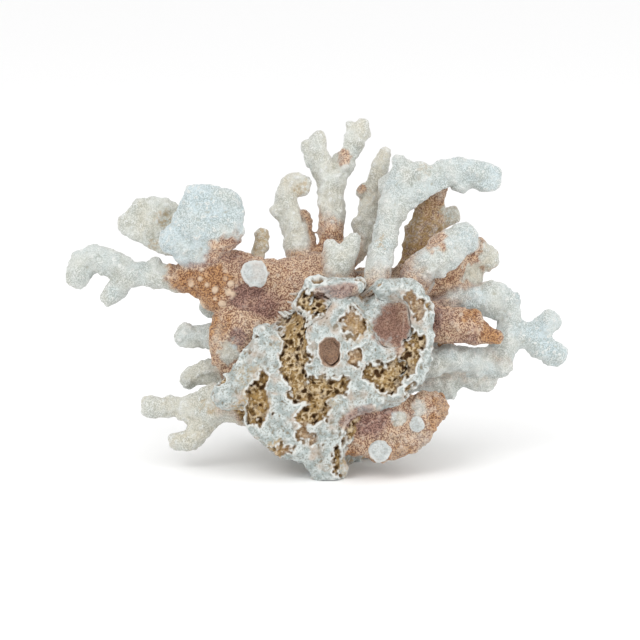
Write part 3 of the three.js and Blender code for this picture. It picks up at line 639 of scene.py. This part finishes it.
# All these branches have low lumps and warts, rounded by wear, over a fine grain. The blades come
# before the trunk that carries them, so that its skin runs on over their roots.
LUMP_MM, LUMP_RISE_MM = 10.5, 1.6
KNOB_MM, KNOB_RISE_MM = 4.2, 0.6
WART_SPACING_MM, WART_RISE_MM = 3.1, 0.5
GRAIN_MM, GRAIN_RISE_MM = 1.6, 0.28
branches = LEFT_BLADES | TRUNKS_AND_PLATES | LEFT_BRANCHES | TOP_FINGERS | RIGHT_LIMBS
lumps = LUMP_RISE_MM * rough(LUMP_MM, 11.3, 3) + KNOB_RISE_MM * rough(KNOB_MM, 21.7)
lumps += FLAP_KNOB_RISE_MM * rough(FLAP_KNOB_MM, 31.9, 2) * share_of("lower_flap")
wart_seed, wart_draw = cells(at_mm, WART_SPACING_MM, 6.6)
warts = WART_RISE_MM * step(0.6, 0.1, wart_seed) * step(0.3, 0.9, wart_draw)
grain = GRAIN_RISE_MM * rough(GRAIN_MM, 2.9)
scar, scar_rise, cream = np.zeros((3, len(points)))
for name, branch in branches.items():
    own = np.flatnonzero((point_owner == piece_names.index(name)) & (facing > 0.1))
    for across, up, half, rise in branch.get("scars", []):
        off = np.linalg.norm(where[own, :2] - (across, up), axis=1) / half
        disc = step(1.06, 0.9, off + 0.1 * rough(3, 5.1, 2, own))
        scar[own] = np.maximum(scar[own], disc)
        scar_rise[own] = np.maximum(scar_rise[own], rise * disc - 0.5 * step(0.8, 0.5, off))
wart_area = np.flatnonzero(point_owner == piece_names.index("left_trunk"))
off = np.linalg.norm((where[wart_area, :2] - CREAM_WARTS["at"]) / CREAM_WARTS["half"], axis=1)
seed, draw = cells(at_mm[wart_area], CREAM_WARTS["spacing"], 3.7)
cream[wart_area] = step(0.5, 0.3, seed) * step(0.3, 0.4, draw) * step(1.2, 0.8, off)
rise = (lumps + warts + grain) * (1 - share) * (1 - 0.8 * scar) + scar_rise
rise += CREAM_WARTS["rise"] * cream
rise[core] += relief_side
points = standing_at(where) + normals * (rise * MM)[:, None]

# The colours of a branch run from its fork to its tip: pink-brown skin is left near the forks,
# and the tips are bleached by light and water.
SKIN_FADE_ROUNDS = 40
RAGGED_MM, RAGGED_REACH_MM = 4.0, 3.4
PATCHY_MM, PATCHY_SHARE = 8, 0.3
colours = {field: np.zeros(len(points)) for field in ("blush", "rust", "stain")}
for owner_index, name in enumerate(piece_names):
    own = point_owner == owner_index
    fork, tip, fade, rusty = branches[name]["skin"] if name in branches else CROWN_SKIN
    colours["blush"][own] = fork + (tip - fork) * step(0, fade, from_fork[own])
    colours["rust"][own] = rusty
colours["blush"][point_owner == holdfast] = HOLDFAST_BLUSH
colours["rust"][point_owner == holdfast] = HOLDFAST_RUST
fields = evened(np.column_stack(list(colours.values())), edges, SKIN_FADE_ROUNDS, (0.5,))
colours = dict(zip(colours, fields.T.copy()))
patches_of = {"holdfast": HOLDFAST_PATCHES}
patches_of |= {name: branch["patches"] for name, branch in branches.items() if "patches" in branch}
for name, patches in patches_of.items():
    faded = share_of(name)
    own = np.flatnonzero(faded > 0.05)
    faded = faded[own]
    ragged = RAGGED_REACH_MM * rough(RAGGED_MM, 3.3, 3, own)
    for across, up, half, field, value in patches:
        off = np.linalg.norm(where[own, :2] - (across, up), axis=1) / half
        part = step(1.25, 0.55, off + ragged / half) * faded
        colours[field][own] += (value - colours[field][own]) * part
blush, rust, stain = colours.values()
half_blushed = step(0.02, 0.3, blush) * step(0.98, 0.7, blush)
blush = np.clip(blush + PATCHY_SHARE * rough(PATCHY_MM, 7.7, 3) * half_blushed, 0, 1)
blush = step(0.15, 0.85, blush) * 0.6 + blush * 0.4

crust_all, ground_all, bare_all, pit_shade_all, rim_all = np.zeros((5, len(points)))
edge_of_hold = step(0.2, 0.6, hold + 0.25 * rough(4, 9.4, 2, core))
crust_all[core] = crust * (1 - 0.85 * plate) * edge_of_hold
ground_all[core] = ground * (1 - plate) * (1 - 0.4 * shallow) * edge_of_hold
bare_all[core] = bare * edge_of_hold
# The painted shade of the pits, kept to the holdfast.
pit_shade_all[core] = pit_shade * edge_of_hold
rim_all[core] = crust_rim

skin.data.vertices.foreach_set("co", points.ravel())
skin.data.update()
# How far each point stands out from its neighbours, in millimetres. The shaders paint a highlight on
# crests and shade in hollows from it.
flat_mean = evened(points, edges, 1, (1.0,))
crest = ((points - flat_mean) * normals).sum(axis=1) / MM
crest = evened(crest[:, None], edges, 2, (0.5,))[:, 0]

# Every finish of the coral is mixed from the same few effects, each one a shader node group:
# cups on bleached skin, ridges on blushed skin, worn crust and porous ground.
LIGHT_ON_CORAL = 1.25


def shown(red, green, blue):
    """The linear colour that shows as this screen colour under the studio's light."""
    screen = [value / 255 for value in (red, green, blue)]
    return tuple(((value + 0.055) / 1.055) ** 2.4 / LIGHT_ON_CORAL for value in screen) + (1,)


class Wiring:
    """A node tree that is filled in."""

    def __init__(self, tree):
        self.tree = tree

    def add(self, kind, out=0, settings=(), **inputs):
        """A node with its inputs set or linked; gives its output."""
        made = self.tree.nodes.new(kind)
        for name, value in dict(settings).items():
            setattr(made, name, value)
        for name, value in inputs.items():
            plug = made.inputs[int(name[1:]) if name[0] == "_" else name.replace("_", " ")]
            if isinstance(value, bpy.types.NodeSocket):
                self.tree.links.new(value, plug)
            else:
                plug.default_value = value
        return made.outputs[out]

    def reckon(self, operation, first, second=0.0):
        """Arithmetic on two values."""
        return self.add("ShaderNodeMath", settings={"operation": operation}, _0=first, _1=second)

    def step(self, value, low, high):
        """0 at low and 1 at high, smooth between them."""
        inputs = {"Value": value, "_1": low, "_2": high}
        return self.add("ShaderNodeMapRange", settings={"interpolation_type": "SMOOTHSTEP"}, **inputs)

    def mix(self, share, first, second):
        """The first colour turning into the second as the share rises."""
        return self.add("ShaderNodeMix", 2, {"data_type": "RGBA"}, _0=share, _6=first, _7=second)

    def blend(self, share, first, second):
        """The first value turning into the second as the share rises."""
        return self.add("ShaderNodeMix", 0, {"data_type": "FLOAT"}, _0=share, _2=first, _3=second)

    def noise(self, spot, scale_mm, detail=2.0, out=0):
        """Noise with lumps about so wide."""
        return self.add("ShaderNodeTexNoise", out, Vector=spot, Scale=1 / (scale_mm * MM), Detail=detail)

    def cells(self, spot, spacing_mm, feature="F1"):
        """The distance to the nearest seed, or to the edge of its cell, in spacings."""
        return self.add("ShaderNodeTexVoronoi", 0, {"feature": feature}, Vector=spot,
                        Scale=1 / (spacing_mm * MM))

    def bent(self, spot, reach_mm, width_mm):
        """The spot moved about by noise, so that a pattern loses its straight lines."""
        return self.add("ShaderNodeMix", 1, {"data_type": "VECTOR"}, _0=reach_mm * MM, _4=spot,
                        _5=self.noise(spot, width_mm, out=1))

    def clamped_sum(self, first, second):
        """The sum of two values, kept from 0 to 1."""
        return self.add("ShaderNodeMath", settings={"operation": "ADD", "use_clamp": True},
                        _0=first, _1=second)

    def place(self, node_group, **inputs):
        """The colour and height of an effect, its node group placed here."""
        made = self.tree.nodes.new("ShaderNodeGroup")
        made.node_tree = node_group
        for label, value in inputs.items():
            self.tree.links.new(value, made.inputs[label])
        return made.outputs["Color"], made.outputs["Height"]


def group(name, inputs, outputs):
    """A new node group; gives it, its wiring, its input sockets and its output node."""
    tree = bpy.data.node_groups.new(name, "ShaderNodeTree")
    for label, kind in inputs.items():
        tree.interface.new_socket(label, in_out="INPUT", socket_type=kind)
    for label, kind in outputs.items():
        tree.interface.new_socket(label, in_out="OUTPUT", socket_type=kind)
    given = tree.nodes.new("NodeGroupInput").outputs
    return tree, Wiring(tree), given, tree.nodes.new("NodeGroupOutput").inputs


FLOAT, COLOUR = "NodeSocketFloat", "NodeSocketColor"
CUP_MM = 1.15
WEAVE_MM = 0.62

# Bleached skin: small dark cups close together, each in a raised pale ring, with a painted highlight on
# its crests and painted shade in its hollows.
cups_group, wire, given, out = group(
    "bleached_cups", {"Warmth": FLOAT, "Crest": FLOAT}, {"Color": COLOUR, "Height": FLOAT})
spot = wire.add("ShaderNodeTexCoord", 3)
bent_spot = wire.bent(spot, 0.6, 1.6)
weave = wire.noise(bent_spot, WEAVE_MM, 0.0)
gap = wire.step(weave, 0.58, 0.4)
cup = wire.step(wire.cells(bent_spot, CUP_MM, "DISTANCE_TO_EDGE"), 0.1, 0.34)
fine = wire.noise(spot, 0.6, 2.0)
drift = wire.reckon("SUBTRACT", wire.noise(spot, 12), 0.5)
warmth = wire.clamped_sum(given["Warmth"], drift)
tone = wire.mix(warmth, shown(222, 236, 240), shown(236, 229, 210))
# Painted highlight on crests and painted shade in hollows, from how far the skin stands out.
tone = wire.mix(wire.step(given["Crest"], 0.0, 0.09), tone, shown(244, 246, 242))
tone = wire.mix(wire.step(given["Crest"], -0.01, -0.13), tone, shown(190, 188, 170))
gap_tone = wire.mix(warmth, shown(170, 186, 187), shown(194, 186, 164))
clear = wire.blend(wire.step(wire.noise(spot, 9), 0.36, 0.62), 0.3, 0.9)
tone = wire.mix(wire.reckon("MULTIPLY", gap, clear), tone, gap_tone)
tone = wire.mix(wire.reckon("MULTIPLY", cup, 0.25), tone, shown(160, 168, 162))
wire.tree.links.new(tone, out["Color"])
height = wire.reckon("SUBTRACT", wire.reckon("MULTIPLY", fine, 0.5), wire.reckon("MAXIMUM", cup, gap))
wire.tree.links.new(height, out["Height"])

# Blushed skin: cream ridges wind between dark cups on a pink-brown or rusty ground, with a painted
# highlight on its crests.
ridges_group, wire, given, out = group(
    "blushed_ridges", {"Rust": FLOAT, "Crest": FLOAT}, {"Color": COLOUR, "Height": FLOAT})
spot = wire.add("ShaderNodeTexCoord", 3)
bent_spot = wire.bent(spot, 1.2, 2.2)
weave = wire.noise(bent_spot, WEAVE_MM * 1.1, 0.0)
ridge = wire.step(weave, 0.44, 0.58)
cup = wire.step(weave, 0.42, 0.26)
drift = wire.reckon("SUBTRACT", wire.noise(spot, 9), 0.5)
rusty = wire.clamped_sum(given["Rust"], drift)
half_rusty = wire.step(rusty, 0.0, 0.5)
full_rusty = wire.step(rusty, 0.5, 1.0)


def by_rust(mauve, pink, rust):
    """The colour between mauve, pink-brown and rust."""
    return wire.mix(full_rusty, wire.mix(half_rusty, mauve, pink), rust)


field = by_rust(shown(122, 82, 72), shown(162, 116, 90), shown(138, 84, 46))
ridge_tone = by_rust(shown(174, 134, 118), shown(226, 195, 164), shown(198, 148, 98))
tone = wire.mix(ridge, field, ridge_tone)
cup_tone = by_rust(shown(98, 68, 58), shown(126, 92, 70), shown(104, 60, 32))
tone = wire.mix(wire.reckon("MULTIPLY", cup, 0.7), tone, cup_tone)
# Painted highlight on the crests.
crest_highlight_tone = by_rust(shown(204, 176, 162), shown(232, 212, 190), shown(222, 174, 124))
crest_highlight_share = wire.reckon("MULTIPLY", wire.step(given["Crest"], 0.01, 0.1), 0.6)
tone = wire.mix(crest_highlight_share, tone, crest_highlight_tone)
wire.tree.links.new(tone, out["Color"])
height = wire.reckon("SUBTRACT", wire.reckon("MULTIPLY", ridge, 0.8), cup)
wire.tree.links.new(wire.reckon("ADD", height, 1.0), out["Height"])

# Worn crust: chalky white, speckled grey, and pinkish where it thins out, with a painted highlight on
# its crests and painted shade in its hollows.
crust_group, wire, given, out = group(
    "worn_crust", {"Rim": FLOAT, "Crest": FLOAT}, {"Color": COLOUR, "Height": FLOAT})
spot = wire.add("ShaderNodeTexCoord", 3)
coarse = wire.noise(spot, 4, 4.0)
fine = wire.noise(spot, 0.9, 3.0)
tone = wire.mix(wire.step(coarse, 0.38, 0.6), shown(176, 186, 184), shown(216, 223, 221))
speckle = wire.reckon("MULTIPLY", wire.step(fine, 0.48, 0.66), 0.85)
tone = wire.mix(speckle, tone, shown(146, 148, 138))
pinkish = wire.reckon("MULTIPLY", wire.step(wire.noise(spot, 9), 0.5, 0.72), 0.6)
tone = wire.mix(pinkish, tone, shown(204, 180, 160))
tone = wire.mix(wire.reckon("MULTIPLY", given["Rim"], 0.5), tone, shown(216, 196, 178))
# Painted highlight on crests and painted shade in hollows.
tone = wire.mix(wire.step(given["Crest"], 0.05, 0.16), tone, shown(232, 235, 231))
tone = wire.mix(wire.step(given["Crest"], -0.01, -0.14), tone, shown(152, 142, 124))
wire.tree.links.new(tone, out["Color"])
wire.tree.links.new(wire.reckon("ADD", wire.reckon("MULTIPLY", fine, 0.8), coarse), out["Height"])

# Porous ground: tan and speckled with dark pores, with a painted highlight on its crests and painted
# dark-brown shade down its pits and at the feet of its ledges.
ground_group, wire, given, out = group(
    "porous_ground", {"Crest": FLOAT, "Hollow": FLOAT}, {"Color": COLOUR, "Height": FLOAT})
spot = wire.add("ShaderNodeTexCoord", 3)
pores = wire.step(wire.cells(spot, 1.3), 0.45, 0.15)
mottle = wire.noise(spot, 3, 3.0)
tone = wire.mix(wire.step(mottle, 0.35, 0.65), shown(146, 116, 70), shown(188, 158, 108))
chalky = wire.step(wire.noise(spot, 6, 3.0), 0.52, 0.64)
tone = wire.mix(wire.reckon("MULTIPLY", chalky, 0.6), tone, shown(196, 186, 170))
# Painted highlight on the crests.
tone = wire.mix(wire.step(given["Crest"], 0.0, 0.09), tone, shown(218, 198, 164))
tone = wire.mix(wire.reckon("MULTIPLY", pores, 0.6), tone, shown(104, 72, 42))
# Painted shade, dark brown, down the pits and pores and at the ledge feet.
tone = wire.mix(wire.step(given["Hollow"], 0.15, 0.9), tone, shown(84, 56, 26))
wire.tree.links.new(tone, out["Color"])
wire.tree.links.new(wire.reckon("SUBTRACT", mottle, pores), out["Height"])

FINISHES = {
    "bleached_coral": {"rough": 0.78, "bump": 0.75, "sheen": 0.5},
    "blushed_coral": {"rough": 0.74, "bump": 0.85, "sheen": 0.15},
    "eroded_crust": {"rough": 0.9, "bump": 0.8, "sheen": 0.05},
}
BUMP_MM = 0.28
CHALKY_GLOSS = 0.3
MASKS = {"blush": blush, "rust": rust, "stain": stain, "scar": scar, "cream": cream,
         "crust": crust_all, "ground": ground_all, "bare": bare_all, "hollow": pit_shade_all,
         "rim": rim_all, "crest": crest}
finish_of = {}
for slot, finish in FINISHES.items():
    paint, tree, shader = material(slot)
    wire = Wiring(tree)
    mask = {name: wire.add("ShaderNodeAttribute", 2, {"attribute_name": name}) for name in MASKS}
    cups, cups_height = wire.place(cups_group, Warmth=mask["rust"], Crest=mask["crest"])
    ridges, ridges_height = wire.place(ridges_group, Rust=mask["rust"], Crest=mask["crest"])
    worn, worn_height = wire.place(crust_group, Rim=mask["rim"], Crest=mask["crest"])
    porous, porous_height = wire.place(ground_group, Crest=mask["crest"], Hollow=mask["hollow"])
    skin_colour = wire.mix(mask["blush"], cups, ridges)
    skin_height = wire.blend(mask["blush"], cups_height, ridges_height)
    skin_colour = wire.mix(mask["cream"], skin_colour, shown(238, 212, 184))
    skin_colour = wire.mix(mask["scar"], skin_colour, wire.mix(0.4, worn, shown(236, 238, 238)))
    colour = wire.mix(mask["ground"], skin_colour, porous)
    height = wire.blend(mask["ground"], skin_height, porous_height)
    colour = wire.mix(mask["crust"], colour, worn)
    height = wire.blend(mask["crust"], height, worn_height)
    worn_smooth = wire.mix(mask["rust"], shown(134, 110, 94), shown(234, 218, 204))
    smooth_brown = wire.mix(0.4, ridges, worn_smooth)
    colour = wire.mix(mask["bare"], colour, smooth_brown)
    spotted = wire.step(wire.noise(wire.add("ShaderNodeTexCoord", 3), 1.6, 3.0), 0.38, 0.6)
    spotted = wire.reckon("MULTIPLY", spotted, mask["stain"])
    colour = wire.mix(spotted, colour, shown(184, 150, 92))
    bump = wire.add("ShaderNodeBump", Strength=finish["bump"], Distance=BUMP_MM * MM, Height=height)
    tree.links.new(colour, shader.inputs["Base Color"])
    tree.links.new(bump, shader.inputs["Normal"])
    shader.inputs["Roughness"].default_value = finish["rough"]
    shader.inputs["Specular IOR Level"].default_value = CHALKY_GLOSS
    shader.inputs["Sheen Weight"].default_value = finish["sheen"]
    finish_of[slot] = paint

# The growth is parted at its forks into its pieces. Each is closed by a shallow hollow cap
# where it was joined, and keeps the shading of the whole, so no seam shows.
CAP_IN_MM = 0.8
low, high = (np.array(corner) for corner in cad_box)
points = np.clip(points, low, high)
skin.data.vertices.foreach_set("co", points.ravel())
skin.data.update()
normals = numbers(skin.data.vertex_normals, "vector", 3)
bpy.data.objects.remove(skin)
for owner_index, name in enumerate(piece_names):
    used, own_quads = np.unique(quads[owner == owner_index], return_inverse=True)
    own_quads = own_quads.reshape(-1, 4)
    mesh = bpy.data.meshes.new(name + "_growth")
    mesh.from_pydata(points[used].tolist(), [], own_quads.tolist())
    shape = bmesh.new()
    shape.from_mesh(mesh)
    rims = [edge for edge in shape.edges if edge.is_boundary]
    caps = bmesh.ops.holes_fill(shape, edges=rims, sides=0)["faces"]
    bmesh.ops.poke(shape, faces=caps)
    shape.verts.ensure_lookup_table()
    shape.normal_update()
    for vert in shape.verts[len(used):]:
        vert.co -= vert.normal * CAP_IN_MM * MM
    shape.to_mesh(mesh)
    shape.free()
    for label, values in MASKS.items():
        padded = np.zeros(len(mesh.vertices), np.float32)
        padded[:len(used)] = values[used]
        mesh.attributes.new(label, "FLOAT", "POINT").data.foreach_set("value", padded)
    mesh.polygons.foreach_set("use_smooth", np.ones(len(mesh.polygons), bool))
    corner_normals = normals[used][numbers(mesh.loops, "vertex_index", 1, np.int32) % len(used)]
    cap_normals = numbers(mesh.polygons, "normal", 3)[len(own_quads):]
    corner_normals[own_quads.size:] = np.repeat(cap_normals, 3, axis=0)
    mesh.normals_split_custom_set(corner_normals.tolist())
    mesh.materials.append(finish_of[slot_of[name]])
    piece = bpy.data.objects.new(name + "_growth", mesh)
    bpy.context.scene.collection.objects.link(piece)
    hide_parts(name)
    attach(piece, "root")
